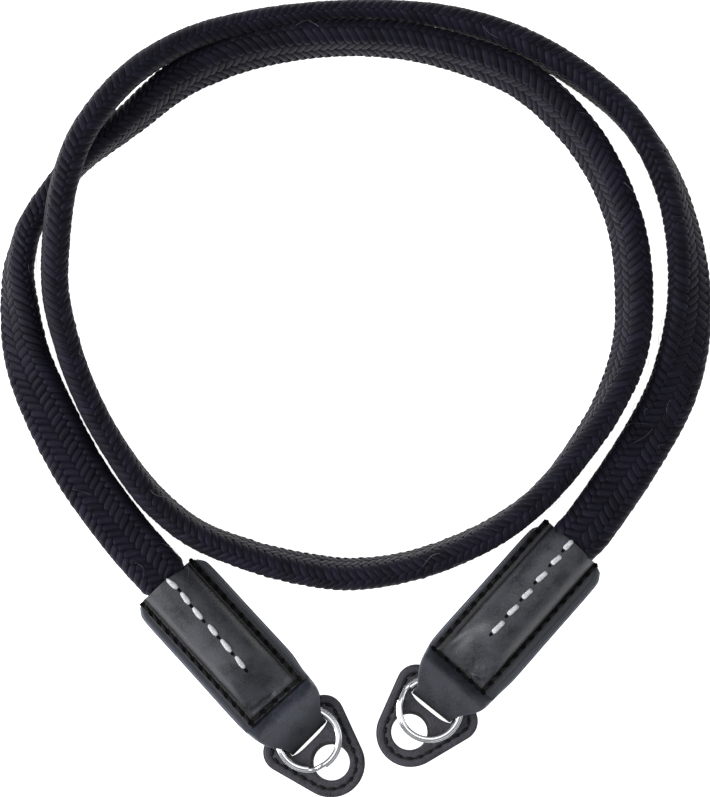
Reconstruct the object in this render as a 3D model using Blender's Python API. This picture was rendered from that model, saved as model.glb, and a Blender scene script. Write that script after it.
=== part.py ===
"""A braided silk camera neck strap, lying coiled in two turns.

A flat oblong braided cord runs between two leather ends. Each end is one long strip of
leather, folded over a split ring and back under itself, with the cord sewn under a soft
leather cover. A round-tipped leather pad, which keeps the ring off the camera, hangs on
the fold through a slot. Lengths are in metres, +Z is up, and the strap lies on z = 0.
"""
import math

import bmesh
import bpy
from mathutils import Matrix, Vector

MM = 0.001

# Silk cord: a flat oblong with round edges
CORD_WIDTH = 12.8 * MM
CORD_THICKNESS = 6.1 * MM
CORD_POINTS = 80
POCKET_DEPTH = 28 * MM
POCKET_SQUEEZE = 0.94
CORD_LEAD = 8 * MM

# Leather strip of each end, from the cord's mouth to the fold over the ring
END_LENGTH = 54 * MM
STRIP_WIDTH = 21.8 * MM
STRIP_THICKNESS = 1.4 * MM
TONGUE_WIDTH = 12.2 * MM
TONGUE_RISE_LENGTH = 4.4 * MM
FOLD_TOP_RADIUS = 2.8 * MM
FOLD_FOOT_RADIUS = 1.1 * MM

# Cover sewn over the cord, as far as where the tongue begins to rise
COVER_WIDTH = 17.2 * MM
COVER_WALL = 1.0 * MM
COVER_FLAT_END = 3 * MM
POCKET_END_ROOM = 1 * MM

# Pad that keeps the ring off the camera
PAD_THICKNESS = 1.9 * MM
PAD_WIDTH = 24 * MM
PAD_SHOULDER_RADIUS = 5 * MM
PAD_SHOULDER_SETBACK = 2 * MM
PAD_TIP_RADIUS = 8.6 * MM
PAD_TIP_REACH = 8.1 * MM
PAD_HOLE_DIAMETER = 9 * MM
SLOT_GAP = 0.6 * MM

# Split ring: flat wire in two laps
RING_DIAMETER = 17 * MM
RING_WIRE_WIDTH = 1.85 * MM
RING_WIRE_HEIGHT = 0.85 * MM
RING_LAP_GAP = 0.1 * MM
RING_SPLIT_ANGLE = 30
RING_CENTRE_AHEAD = 0.2 * MM

CLEARANCE = 0.3 * MM

# Where each end lies: the middle of its fold, the way it points, its ring's turn, and how
# far its ring has slipped ahead and to the left
ENDS = {
    "left": {"x": -14.87 * MM, "y": -19.64 * MM, "heading": -47.6, "ring_turn": -10,
             "ring_slip": (-0.4 * MM, -0.25 * MM)},
    "right": {"x": 15.41 * MM, "y": -11.93 * MM, "heading": -131.5, "ring_turn": -65,
              "ring_slip": (0.2 * MM, 0.0)},
}

# The cord's route between the two leads, clockwise seen from above: millimetres across and
# up the sheet from the route's own start, the lift of its underside off the table, and
# degrees that its section is turned from lying flat to standing on edge
ROUTE_START = (0.19 * MM, 0.43 * MM)
ROUTE = [
    (-62.5, 32.9, 2.3, 0),
    (-72.6, 45.9, 0.8, 3),
    (-80.4, 60.6, 0, 12),
    (-85.9, 76.2, 0, 38),
    (-88.2, 93.5, 0, 69),
    (-87.0, 102.2, 0, 82),
    (-83.8, 110.2, 0, 88),
    (-74.0, 124.5, 0, 92),
    (-61.0, 135.0, 0, 100),
    (-48.2, 143.9, 0, 104),
    (-34.2, 149.6, 0, 105),
    (-19.8, 153.0, 0, 105),
    (-5.0, 154.2, 0, 105),
    (9.8, 153.4, 0, 106),
    (24.2, 150.0, 0, 112),
    (38.2, 144.2, 0, 118),
    (50.2, 134.5, 0, 119),
    (59.0, 121.8, 0, 116),
    (64.5, 107.2, 0, 116),
    (66.2, 92.2, 0, 117),
    (65.0, 77.5, 0, 117),
    (59.8, 63.8, 0, 108),
    (52.2, 51.8, 0, 98),
    (43.5, 41.2, 0, 91),
    (32.8, 32.8, 0, 96),
    (20.8, 26.8, 0, 99),
    (8.2, 22.8, 0, 101),
    (-5.0, 21.2, 0, 105),
    (-18.2, 22.8, 0, 105),
    (-31.0, 26.2, 0, 101),
    (-43.8, 31.5, 0, 98),
    (-54.5, 40.2, 0, 100),
    (-62.6, 51.6, 0.3, 100),
    (-69.6, 63.9, 1, 99),
    (-75.2, 77.3, 3.7, 96),
    (-78.4, 92.5, 8.7, 93),
    (-78.2, 108.5, 13.1, 91),
    (-76.0, 120.5, 13.4, 90),
    (-71.0, 132.8, 13.2, 90),
    (-60.0, 146.0, 9.7, 90),
    (-45.4, 155.0, 4.2, 90),
    (-29.2, 159.4, 0.7, 90),
    (-13.1, 161.4, 0, 90),
    (3.0, 161.6, 0, 90),
    (19.5, 160.1, 0, 92),
    (35.8, 155.5, 0, 98),
    (51.0, 146.8, 0, 101),
    (64.8, 135.5, 0, 91),
    (74.0, 120.0, 0, 78),
    (78.5, 102.5, 0, 56),
    (79.0, 84.8, 0, 37),
    (75.2, 67.8, 0, 16),
    (67.8, 52.2, 0.3, 3),
]

# Half the strip's outline: share of its length from the cord's mouth, and how far its half
# width stands from the tongue's, 0, to the full strip's, 1
STRIP_EDGE = [
    (0.0, 0.27),
    (0.012, 0.62),
    (0.045, 0.88),
    (0.10, 1.0),
    (0.40, 1.02),
    (0.72, 1.04),
    (0.80, 0.94),
    (0.87, 0.72),
    (0.91, 0.44),
    (0.94, 0.17),
    (0.965, 0.02),
    (1.0, 0.0),
]

PAD_BOTTOM = STRIP_THICKNESS + CLEARANCE
RING_BOTTOM = PAD_BOTTOM + PAD_THICKNESS + CLEARANCE
RING_HEIGHT = 2 * RING_WIRE_HEIGHT + RING_LAP_GAP
TONGUE_BOTTOM = RING_BOTTOM + RING_HEIGHT + CLEARANCE
CORD_SEAT = 2 * STRIP_THICKNESS + CLEARANCE
RING_BACK = RING_CENTRE_AHEAD - RING_DIAMETER / 2 - CLEARANCE
COVER_LENGTH = END_LENGTH + RING_BACK - TONGUE_RISE_LENGTH


def clear_scene():
    for item in list(bpy.data.objects):
        bpy.data.objects.remove(item)


def new_collection(name):
    collection = bpy.data.collections.new(name)
    bpy.context.scene.collection.children.link(collection)
    return collection


def material(name, colour, roughness, metallic=0.0):
    made = bpy.data.materials.new(name)
    made.use_nodes = True
    shader = made.node_tree.nodes["Principled BSDF"]
    shader.inputs["Base Color"].default_value = (*colour, 1)
    shader.inputs["Roughness"].default_value = roughness
    shader.inputs["Metallic"].default_value = metallic
    made.diffuse_color = (*colour, 1)
    return made


def catmull_rom(rows, steps):
    """Rows on the smooth curve through the given rows, each a tuple of numbers."""
    first = [2 * a - b for a, b in zip(rows[0], rows[1])]
    last = [2 * a - b for a, b in zip(rows[-1], rows[-2])]
    knots = [first, *rows, last]
    smooth = []
    for p, q, r, s in zip(knots, knots[1:], knots[2:], knots[3:]):
        for step in range(steps):
            t = step / steps
            smooth.append([
                0.5 * (2 * b + (c - a) * t + (2 * a - 5 * b + 4 * c - d) * t**2
                       + (3 * b - a - 3 * c + d) * t**3)
                for a, b, c, d in zip(p, q, r, s)
            ])
    smooth.append(list(rows[-1]))
    return smooth


def evenly(rows, count):
    """The given number of rows, spaced evenly in plan along a finely stepped curve."""
    reached = [0.0]
    for a, b in zip(rows, rows[1:]):
        reached.append(reached[-1] + math.dist(a[:2], b[:2]))
    spaced = []
    at = 0
    for number in range(count):
        wanted = reached[-1] * number / (count - 1)
        while at < len(rows) - 2 and reached[at + 1] < wanted:
            at += 1
        share = (wanted - reached[at]) / (reached[at + 1] - reached[at])
        spaced.append([a + (b - a) * share for a, b in zip(rows[at], rows[at + 1])])
    return spaced


def arc(centre_x, centre_y, radius, start, end, steps):
    """Points of an arc, its angles in degrees."""
    points = []
    for step in range(steps + 1):
        angle = math.radians(start + (end - start) * step / steps)
        points.append((centre_x + radius * math.cos(angle), centre_y + radius * math.sin(angle)))
    return points


def oblong(width, height, steps):
    """A closed outline with straight long sides and half-round ends."""
    radius = height / 2
    side = width / 2 - radius
    return arc(side, 0, radius, 90, -90, steps) + arc(-side, 0, radius, 270, 90, steps)


def hull(points):
    """The convex outline round a set of points."""
    ordered = sorted(points)
    outline = []
    for sequence in (ordered, ordered[::-1]):
        chain = []
        for x, y in sequence:
            while len(chain) > 1:
                (ax, ay), (bx, by) = chain[-2:]
                if (bx - ax) * (y - ay) - (by - ay) * (x - ax) > 0:
                    break
                chain.pop()
            chain.append((x, y))
        outline += chain[:-1]
    return outline


def outline_curve(name, outlines):
    """A flat curve of closed outlines; an outline inside another is a hole."""
    curve = bpy.data.curves.new(name, "CURVE")
    curve.dimensions = "2D"
    curve.fill_mode = "BOTH"
    for points in outlines:
        spline = curve.splines.new("POLY")
        spline.points.add(len(points) - 1)
        for knot, (x, y) in zip(spline.points, points):
            knot.co = (x, y, 0, 1)
        spline.use_cyclic_u = True
    return curve


def plate(name, outlines, thickness):
    """A closed mesh of flat outlines in XY, half its thickness each side of z = 0."""
    curve = outline_curve(name, outlines)
    curve.extrude = thickness / 2
    holder = bpy.data.objects.new(name, curve)
    bpy.context.scene.collection.objects.link(holder)
    bpy.context.view_layer.update()
    depsgraph = bpy.context.evaluated_depsgraph_get()
    mesh = bpy.data.meshes.new_from_object(holder.evaluated_get(depsgraph))
    bpy.data.objects.remove(holder)
    shell = bmesh.new()
    shell.from_mesh(mesh)
    bmesh.ops.remove_doubles(shell, verts=shell.verts, dist=0.001 * MM)
    bmesh.ops.recalc_face_normals(shell, faces=shell.faces)
    shell.to_mesh(mesh)
    shell.free()
    mesh.name = name
    return mesh


def wire(name, points, section, tilts, radii):
    """A curve object's data: a section carried along points, upright except for its tilt."""
    curve = bpy.data.curves.new(name, "CURVE")
    curve.dimensions = "3D"
    curve.bevel_mode = "OBJECT"
    curve.bevel_object = section
    curve.use_fill_caps = True
    curve.twist_mode = "Z_UP"
    spline = curve.splines.new("POLY")
    spline.points.add(len(points) - 1)
    for knot, point, tilt, radius in zip(spline.points, points, tilts, radii):
        knot.co = (*point, 1)
        knot.tilt = tilt
        knot.radius = radius
    return curve


def loft(name, rings):
    """A closed mesh through rings of as many points each, with flat ends."""
    shell = bmesh.new()
    loops = [[shell.verts.new(point) for point in ring] for ring in rings]
    for near, far in zip(loops, loops[1:]):
        for index in range(len(near)):
            following = (index + 1) % len(near)
            shell.faces.new((near[index], near[following], far[following], far[index]))
    caps = [shell.faces.new(loops[0]), shell.faces.new(loops[-1])]
    bmesh.ops.triangulate(shell, faces=caps)
    bmesh.ops.recalc_face_normals(shell, faces=shell.faces)
    mesh = bpy.data.meshes.new(name)
    shell.to_mesh(mesh)
    shell.free()
    return mesh


def place(name, data, finish, collection, parent=None, location=(0, 0, 0), turn=0.0):
    """Put a piece in the scene, shaded smooth with its sharp edges kept."""
    piece = bpy.data.objects.new(name, data)
    collection.objects.link(piece)
    piece.parent = parent
    piece.location = location
    piece.rotation_euler.z = math.radians(turn)
    if not data.materials:
        data.materials.append(finish)
    if isinstance(data, bpy.types.Mesh):
        data.shade_smooth()
        data.set_sharp_from_angle(angle=math.radians(40))
    return piece


def guide(name, data, cutters, parent=None):
    """A hidden shape that other pieces are made or cut with."""
    shape = bpy.data.objects.new(name, data)
    cutters.objects.link(shape)
    shape.parent = parent
    shape.hide_render = True
    shape.display_type = "WIRE"
    return shape


def strip_outline():
    """The leather strip's plan, from the cord's mouth at -X to past the fold at x = 0."""
    tongue = TONGUE_WIDTH / 2
    spread = STRIP_WIDTH / 2 - tongue
    edge = [(END_LENGTH * (share - 1), tongue + spread * width)
            for share, width in catmull_rom(STRIP_EDGE, 4)]
    edge.append((STRIP_THICKNESS, tongue))
    return edge + [(x, -y) for x, y in reversed(edge)]


def strip_path():
    """The strip's middle line seen from the side, from the cover's end up over the ring and
    back below the pad: (x, z) pairs."""
    half = STRIP_THICKNESS / 2
    foot = (COVER_LENGTH - END_LENGTH, 3 * half)
    top = TONGUE_BOTTOM + half
    path = []
    for step in range(10):
        share = step / 9
        ease = (1 - math.cos(math.pi * share)) / 2
        path.append((foot[0] + TONGUE_RISE_LENGTH * share, foot[1] + (top - foot[1]) * ease))
    path += arc(-half - FOLD_TOP_RADIUS, top - FOLD_TOP_RADIUS, FOLD_TOP_RADIUS, 90, 0, 6)
    path += arc(-half - FOLD_FOOT_RADIUS, half + FOLD_FOOT_RADIUS, FOLD_FOOT_RADIUS, 0, -90, 5)
    path.append((foot[0], half))
    return path


def strip_side():
    """The strip's side view: its outline with both layers together under the cord, and the
    loop that the ring and the pad pass through."""
    path = [Vector(point) for point in strip_path()]
    outer = []
    inner = []
    for index, point in enumerate(path):
        along = path[min(index + 1, len(path) - 1)] - path[max(index - 1, 0)]
        if index in (0, len(path) - 1):
            along.y = 0
        across = Vector((-along.y, along.x)).normalized() * STRIP_THICKNESS / 2
        outer.append(tuple(point + across))
        inner.append(tuple(point - across))
    mouth = -END_LENGTH
    outer = [(mouth, 0), (mouth, 2 * STRIP_THICKNESS), *outer]
    return [outer, inner[:-1]]


def cover_ring(along, height_share):
    """One section across the cover, inside then outside, its bulge lowered towards its flat
    sewn end."""
    gap = CLEARANCE
    round_in = CORD_THICKNESS * POCKET_SQUEEZE / 2 + gap
    side_in = CORD_WIDTH * POCKET_SQUEEZE / 2 + gap
    crown = CORD_THICKNESS / 2 * (1 + POCKET_SQUEEZE) + gap
    edge = COVER_WIDTH / 2

    def bulge(side, radius, top, foot, hem):
        """Half a section from the middle out: crown, rounded shoulder, side and hem."""
        half = [(0, top)]
        half += arc(side - radius, top - radius, radius, 90, 0, 5)
        half += [(side, hem + foot), (side + foot, hem), (edge, hem)]
        return half

    inside = bulge(side_in, round_in, crown, COVER_WALL * 0.4, 0)
    outside = bulge(side_in + COVER_WALL, round_in + COVER_WALL, crown + COVER_WALL,
                    COVER_WALL * 0.3, COVER_WALL)
    floor = 2 * STRIP_THICKNESS + gap
    ring = []
    for half, base in ((inside, 0), (outside, COVER_WALL)):
        mirrored = [(-y, z) for y, z in reversed(half[1:])]
        section = [(y, floor + base + (z - base) * height_share) for y, z in mirrored + half]
        ring += section if base == 0 else section[::-1]
    return [(along, y, z) for y, z in ring]


def cover_mesh():
    """The cover, from its open mouth to its flat sewn end."""
    start = -END_LENGTH
    pocket = start + POCKET_DEPTH + POCKET_END_ROOM
    end = start + COVER_LENGTH
    rings = [cover_ring(start, 1.0), cover_ring((start + pocket) / 2, 1.0)]
    fall = end - COVER_FLAT_END - pocket
    for step in range(8):
        share = step / 7
        rings.append(cover_ring(pocket + fall * share, (1 + math.cos(math.pi * share)) / 2))
    rings.append(cover_ring(end, 0.0))
    return loft("cover", rings)


def pad_outline():
    """The pad's plan: two shoulders beside the fold and a round tip, with the slot that the
    tongue goes through and the round hole."""
    shoulder = PAD_WIDTH / 2 - PAD_SHOULDER_RADIUS
    circles = (
        arc(PAD_TIP_REACH, 0, PAD_TIP_RADIUS, 0, 360, 48)
        + arc(-PAD_SHOULDER_SETBACK, shoulder, PAD_SHOULDER_RADIUS, 0, 360, 32)
        + arc(-PAD_SHOULDER_SETBACK, -shoulder, PAD_SHOULDER_RADIUS, 0, 360, 32)
    )
    back = -STRIP_THICKNESS - CLEARANCE
    length = TONGUE_WIDTH + 2 * CLEARANCE
    breadth = SLOT_GAP - back
    middle = (SLOT_GAP + back) / 2
    corner = breadth / 4
    slot = []
    for turn, x, y in ((0, 1, 1), (90, -1, 1), (180, -1, -1), (270, 1, -1)):
        slot += arc(middle + x * (breadth / 2 - corner), y * (length / 2 - corner), corner,
                    turn, turn + 90, 3)
    hole = arc(PAD_TIP_REACH, 0, PAD_HOLE_DIAMETER / 2, 0, 345, 23)
    return [hull(circles), slot, hole]


def ring_curve(section):
    """The split ring: flat wire that lies in one lap, steps up beside its split, and lies in
    a second lap on the first."""
    radius = (RING_DIAMETER - RING_WIRE_WIDTH) / 2
    pitch = RING_WIRE_HEIGHT + RING_LAP_GAP
    sweep = 720 - RING_SPLIT_ANGLE - 2
    steps = 86
    points = []
    for step in range(steps + 1):
        angle = sweep * step / steps
        rise = min(max((angle - 360 + RING_SPLIT_ANGLE) / RING_SPLIT_ANGLE, 0), 1)
        ease = (1 - math.cos(math.pi * rise)) / 2
        turned = math.radians(angle)
        points.append((radius * math.cos(turned), radius * math.sin(turned),
                       RING_WIRE_HEIGHT / 2 + pitch * ease))
    return wire("split_ring", points, section, [0] * len(points), [1] * len(points))


def cord_rows():
    """The cord's whole route: into each end's pocket, and the table's rows between them."""
    pockets = []
    for spot in ENDS.values():
        heading = math.radians(spot["heading"])
        run = []
        for inside in (POCKET_DEPTH, POCKET_DEPTH / 2, 0, -CORD_LEAD):
            reach = inside - END_LENGTH
            squeeze = POCKET_SQUEEZE if inside >= 0 else 1
            run.append((spot["x"] + reach * math.cos(heading),
                        spot["y"] + reach * math.sin(heading), CORD_SEAT, 0, squeeze))
        pockets.append(run)
    start_x, start_y = ROUTE_START
    table = [(start_x + x * MM, start_y + y * MM, lift * MM, turn, 1)
             for x, y, lift, turn in ROUTE]
    return pockets[0] + table + pockets[1][::-1]


def cord_curve(section):
    """The cord lying along its route, low where it is flat and tall where it is on edge."""
    rows = evenly(catmull_rom(cord_rows(), 24), CORD_POINTS)
    points = []
    for x, y, lift, turn, _ in rows:
        stand = (CORD_WIDTH - CORD_THICKNESS) * abs(math.sin(math.radians(turn)))
        points.append((x, y, max(lift, 0) + (CORD_THICKNESS + stand) / 2))
    tilts = [-math.radians(row[3]) for row in rows]
    return wire("silk_cord", points, section, tilts, [row[4] for row in rows])


def build():
    clear_scene()
    strap = new_collection("coiled_silk_camera_strap")
    cutters = new_collection("cutters")

    silk = material("braided_silk", (0.019, 0.018, 0.024), 0.55)
    strip_leather = material("dark_leather", (0.040, 0.043, 0.054), 0.5)
    cover_leather = material("soft_cover_leather", (0.055, 0.056, 0.064), 0.45)
    pad_leather = material("pad_leather", (0.040, 0.040, 0.048), 0.6)
    steel = material("polished_steel", (0.80, 0.80, 0.82), 0.15, 1.0)

    cord_section = guide("cord_section",
                         outline_curve("cord_section", [oblong(CORD_WIDTH, CORD_THICKNESS, 6)]),
                         cutters)
    wire_outline = oblong(RING_WIRE_WIDTH, RING_WIRE_HEIGHT, 3)
    ring_section = guide("ring_section", outline_curve("ring_section", [wire_outline]), cutters)
    place("silk_cord", cord_curve(cord_section), silk, strap)

    upright = Matrix.Rotation(math.radians(90), 4, "X")
    plan = plate("strip_plan", [strip_outline()], 8 * TONGUE_BOTTOM)
    side = plate("strip_side", strip_side(), 2 * STRIP_WIDTH)
    side.transform(upright)
    cover = cover_mesh()
    pad = plate("lug_pad", pad_outline(), PAD_THICKNESS)
    ring = ring_curve(ring_section)

    for name, spot in ENDS.items():
        end = bpy.data.objects.new(name + "_end", None)
        strap.objects.link(end)
        end.location = (spot["x"], spot["y"], 0)
        end.rotation_euler.z = math.radians(spot["heading"])
        strip = place(name + "_end_strap", side.copy(), strip_leather, strap, end)
        trim = strip.modifiers.new("plan", "BOOLEAN")
        trim.operation = "INTERSECT"
        trim.solver = "EXACT"
        trim.object = guide(name + "_strip_plan", plan, cutters, end)
        place(name + "_cover", cover, cover_leather, strap, end)
        place(name + "_lug_pad", pad, pad_leather, strap, end,
              (0, 0, PAD_BOTTOM + PAD_THICKNESS / 2))
        ahead, aside = spot["ring_slip"]
        place(name + "_split_ring", ring, steel, strap, end,
              (RING_CENTRE_AHEAD + ahead, aside, RING_BOTTOM), spot["ring_turn"])


build()
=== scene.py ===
"""A braided silk camera strap, lying coiled in two turns, with stitched leather ends.

Seen from straight above on a white sheet, under soft light from the far left. Lengths are in
metres; the strap lies on z = 0 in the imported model's own frame.
"""
import math

import bpy
import numpy as np
from mathutils import Matrix, Vector, geometry, noise


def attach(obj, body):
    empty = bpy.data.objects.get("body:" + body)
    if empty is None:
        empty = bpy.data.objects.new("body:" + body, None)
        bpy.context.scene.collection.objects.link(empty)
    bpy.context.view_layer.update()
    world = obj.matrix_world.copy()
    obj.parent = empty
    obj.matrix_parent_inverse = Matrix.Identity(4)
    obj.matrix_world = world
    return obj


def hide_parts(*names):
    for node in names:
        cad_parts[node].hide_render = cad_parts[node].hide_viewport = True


MM = 0.001

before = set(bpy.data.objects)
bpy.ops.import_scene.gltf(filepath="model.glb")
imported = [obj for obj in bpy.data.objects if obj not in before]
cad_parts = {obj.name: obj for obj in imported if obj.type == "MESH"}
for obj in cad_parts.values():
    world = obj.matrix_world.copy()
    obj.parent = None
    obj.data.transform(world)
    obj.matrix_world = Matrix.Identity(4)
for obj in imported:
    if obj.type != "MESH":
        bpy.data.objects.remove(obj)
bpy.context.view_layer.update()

# The picture: 0.25 mm to a pixel at the height of the cord's middle
PICTURE_LONG = 199.3 * MM
PICTURE_CENTRE = (-3.56 * MM, 65.53 * MM)
FOCUS_HEIGHT = 6 * MM
LENS = 400
SENSOR = 36
FLOOR_WIDTH = 6
FLOOR_DROP = 0.05 * MM

# Silk cord: a flat oblong with round edges
CORD_WIDTH = 12.8 * MM
CORD_THICKNESS = 6.1 * MM
CORD_SEAT = 3.1 * MM
POCKET_DEPTH = 28 * MM
POCKET_SQUEEZE = 0.94
MOUTH_SQUEEZE = 0.98
MOUTH_TUCK = 4 * MM
MOUTH_SINK = 0.9 * MM
MOUTH_SINK_RUN = 1.6 * MM
CORD_LEAD = 8 * MM
STATION = 0.7 * MM
CORE_SIDES = 28

# Braid: strands run slanting between six lines along the cord, standing proud of its form
BRAID_PITCH = 2.1 * MM
STRAND_SLANT = 60
FORWARD_LINE = 3.5 * MM
STRAND_RELIEF = 0.55 * MM
STRAND_PROUD = 0.2 * MM
STRAND_OVERLAP = 1.1
STRAND_BOW = 0.22 * MM
STRAND_EDGE_DROP = 0.85 * STRAND_RELIEF
STRAND_END_DROP = 0.16 * MM
STRAND_DIVE = 2.6 * MM
BRAID_PARTS = 3

# Loose filaments: where a few stand off the braid, across and up the sheet, and how many
FIBRE_TUFTS = [((70.2 * MM, 62.2 * MM), 14), ((64.0 * MM, 70.0 * MM), 5),
               ((-58.0 * MM, 36.0 * MM), 5), ((-86.0 * MM, 97.0 * MM), 4)]
STRAY_FIBRES = 70
FIBRE_RADIUS = 0.045 * MM
FIBRE_LENGTHS = (2 * MM, 6 * MM)
FIBRE_RISES = (0.15 * MM, 0.7 * MM)

# Leather ends
END_LENGTH = 54 * MM
STRIP_THICKNESS = 1.4 * MM
STRIP_WIDTH = 21.8 * MM
TONGUE_WIDTH = 12.2 * MM
RISE_START = -11.8 * MM
RISE_END = -8.2 * MM
TONGUE_MIDDLE = 6.7 * MM
FALL_START = -6.8 * MM
FALL_FOOT = 3.0 * MM
FALL_FULLNESS = 2.0
FOLD_FOOT_RADIUS = 1.1 * MM
FOLD_SKEW = -0.05
STRIP_STEP = 0.35 * MM
EAR_LENGTH = 8 * MM
SHOULDER_AT = -13.5 * MM
SHOULDER_SPREAD = 3.5 * MM
FOLD_SHADE = 0.65

# Cover sewn over the cord: heights are above the table
COVER_WIDTH = 17.8 * MM
COVER_WALL = 0.8 * MM
COVER_FOOT = 2.85 * MM
COVER_HEM = 3.9 * MM
COVER_CROWN = 10.3 * MM
COVER_BULGE = 7.05 * MM
COVER_FALL = 13.5 * MM
COVER_STITCH_SIDE = 8.15 * MM
COVER_STITCH_INSET = 0.95 * MM
COVER_PITCH = 3.1 * MM
SEAM_DEPTH = 0.5 * MM
SEAM_HALF_WIDTH = 0.55 * MM
COVER_SIDE_SHARE = 0.74
COVER_EDGE_ROUNDING = 0.3 * MM
COVER_END_PITCH = 3.7 * MM
CRUMPLE_DEPTH = 0.35 * MM
CRUMPLE_SIZE = 4.5 * MM
WAVE_DEPTH = 0.25 * MM
WAVE_SIZE = 9 * MM
MOUTH_ROLL = 0.2 * MM
MOUTH_ROLL_RUN = 0.5 * MM
MOUTH_SKEW_SIDE = 6 * MM
MOUTH_SKEW_RUN = 12 * MM

# Painted shade on the cover: how wide each band fades, along its seams, mouth and bulge's foot
SEAM_SHADE_WIDTH = 0.95 * MM
MOUTH_SHADE_WIDTH = 0.9 * MM
FOOT_SHADE_WIDTH = 0.55 * MM

# Pad that keeps the ring off the camera
PAD_BOTTOM = 1.7 * MM
PAD_THICKNESS = 1.9 * MM
PAD_WIDTH = 24 * MM
PAD_MIDDLE = 3 * MM
PAD_SHOULDER_RADIUS = 5 * MM
PAD_SHOULDER_SETBACK = 2 * MM
PAD_TIP_RADIUS = 8.6 * MM
PAD_TIP_REACH = 8.1 * MM
PAD_HOLE_DIAMETER = 9 * MM
PAD_HOLE_LEAN = 0.4 * MM
PAD_STITCH_INSET = 2.1 * MM
PAD_LAYER_STEP = 0.35 * MM
PAD_PITCH = 2.6 * MM
PAD_STITCH_DROP = 0.2 * MM
SLOT_BACK = -1.7 * MM

# Split ring: two laps of wire, the upper one a little smaller so that both show from above
RING_BOTTOM = 3.9 * MM
RING_DIAMETER = 17 * MM
RING_WIRE_WIDTH = 1.3 * MM
RING_WIRE_HEIGHT = 0.85 * MM
RING_LAP_GAP = 0.1 * MM
RING_LAP_STEP = 0.42 * MM
RING_SPLIT_ANGLE = 30
RING_CENTRE_AHEAD = 0.2 * MM
RING_SIDES = 24
RING_STEP_ANGLE = 2.5

# Sewing thread: the black is laid by machine and the white by hand. The lean is in
# millimetres, its middle and its spread.
BLACK_RADIUS = 0.4 * MM
BLACK_STAND = 0.16 * MM
BLACK_HOLE = (0.85 * MM, 0.6 * MM)
WHITE_STAND = 0.25 * MM
WHITE_HOLE = (0.65 * MM, 0.42 * MM)
BLACK_LEAN = (0.16, 0.06)
STITCH_END_TAPER = 0.78
STITCH_TUCK = 1.3
HOLE_SIDES = 12

# Softboxes: where each one stands and how wide it is, in metres, and its watts
SOFTBOXES = {
    "left_softbox": ((-1.35, -0.15, 0.8), 0.9, 27),
    "overhead_softbox": ((-0.1, 0.3, 2.6), 1.7, 17),
    "right_softbox": ((1.2, 0.3, 1.0), 0.8, 3),
}
STUDIO_STRENGTH = 0.38

# Where each end lies, and what differs between the two. Lengths run along the end from its
# fold at 0 back to the cord's mouth. The ear is the strip's corner beside the mouth, and the
# shoulder is where it narrows to the tongue. A crease is its line's two ends, half width and
# depth; a hand stitch is its line's two ends; all in millimetres.
ENDS = {
    "left": {
        "x": -14.87 * MM, "y": -19.64 * MM, "heading": -47.6, "seed": 3,
        "ring_turn": -10, "ring_slip": (-0.4 * MM, -0.25 * MM),
        "mouth": -53.6 * MM, "mouth_skew": (0.0, -0.2 * MM, 0.9 * MM),
        "ear_shift": 0.6 * MM, "ear_lean": 0.04, "shoulder": -0.7 * MM,
        "pad_shift": -0.3 * MM,
        "cover_end": -11.9 * MM, "bulge_shift": 0.0, "hem_shift": 0.0,
        "cord_shift": 0.3 * MM,
        "slot_gap": 0.72 * MM, "blunt": 2.6, "hand_radius": 0.66 * MM,
        "creases": [(-15.0, -5.8, -14.5, 0.6, 0.38, 0.5), (-14.1, -5.4, -13.9, 0.4, 0.45, -0.25),
                    (-13.7, 1.2, -13.4, 2.6, 0.7, -0.5), (-17.5, -6.0, -23.0, -5.2, 0.9, -0.3),
                    (-21.0, 4.4, -15.5, 5.4, 0.8, 0.3), (-49.0, -5.2, -40.0, -5.8, 1.2, -0.2)],
        "hand_stitches": [(-53.8, 0.63, -49.8, 1.15), (-49.1, 1.11, -44.9, 0.67),
                          (-44.3, 0.74, -40.0, 0.45), (-38.5, 0.72, -34.5, 0.42),
                          (-33.7, 0.56, -29.1, 0.26), (-28.2, 0.43, -23.7, -0.1)],
    },
    "right": {
        "x": 15.41 * MM, "y": -11.93 * MM, "heading": -131.5, "seed": 8,
        "ring_turn": -65, "ring_slip": (0.2 * MM, 0.0),
        "mouth": -54.6 * MM, "mouth_skew": (0.2 * MM, -0.2 * MM, 0.2 * MM),
        "ear_shift": 0.1 * MM, "ear_lean": -0.06, "shoulder": -0.4 * MM,
        "pad_shift": 0.35 * MM,
        "cover_end": -10.7 * MM, "bulge_shift": -0.45 * MM, "hem_shift": -1.0 * MM,
        "cord_shift": -0.7 * MM,
        "slot_gap": 0.85 * MM, "blunt": 7, "hand_radius": 0.64 * MM,
        "creases": [(-12.8, 1.0, -12.3, 2.4, 0.4, 0.35), (-13.3, 4.2, -12.6, 5.6, 0.4, 0.4),
                    (-14.4, 4.9, -13.6, 2.8, 0.5, -0.35), (-16.2, 0.4, -15.2, 1.2, 0.5, 0.2),
                    (-16.4, 3.3, -16.2, 3.9, 0.4, -0.2), (-20.0, -5.0, -14.5, -5.4, 0.9, 0.2)],
        "hand_stitches": [(-54.9, -1.36, -51.7, -1.5), (-50.3, -0.95, -46.8, -1.5),
                          (-44.9, -0.93, -41.1, -1.42), (-39.2, -0.83, -35.6, -1.2),
                          (-34.0, -0.78, -30.1, -1.22), (-28.6, -0.78, -24.1, -1.1)],
    },
}

# Half the strip's outline: share of its length from the cord's mouth, and how far its half
# width stands from the tongue's, 0, to the full strip's, 1
STRIP_EDGE = [
    (0.0, 0.27), (0.012, 0.62), (0.045, 0.88), (0.10, 1.0), (0.40, 1.02), (0.72, 1.04),
    (0.80, 0.94), (0.87, 0.72), (0.91, 0.44), (0.94, 0.17), (0.965, 0.02), (1.0, 0.0),
]

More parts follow.
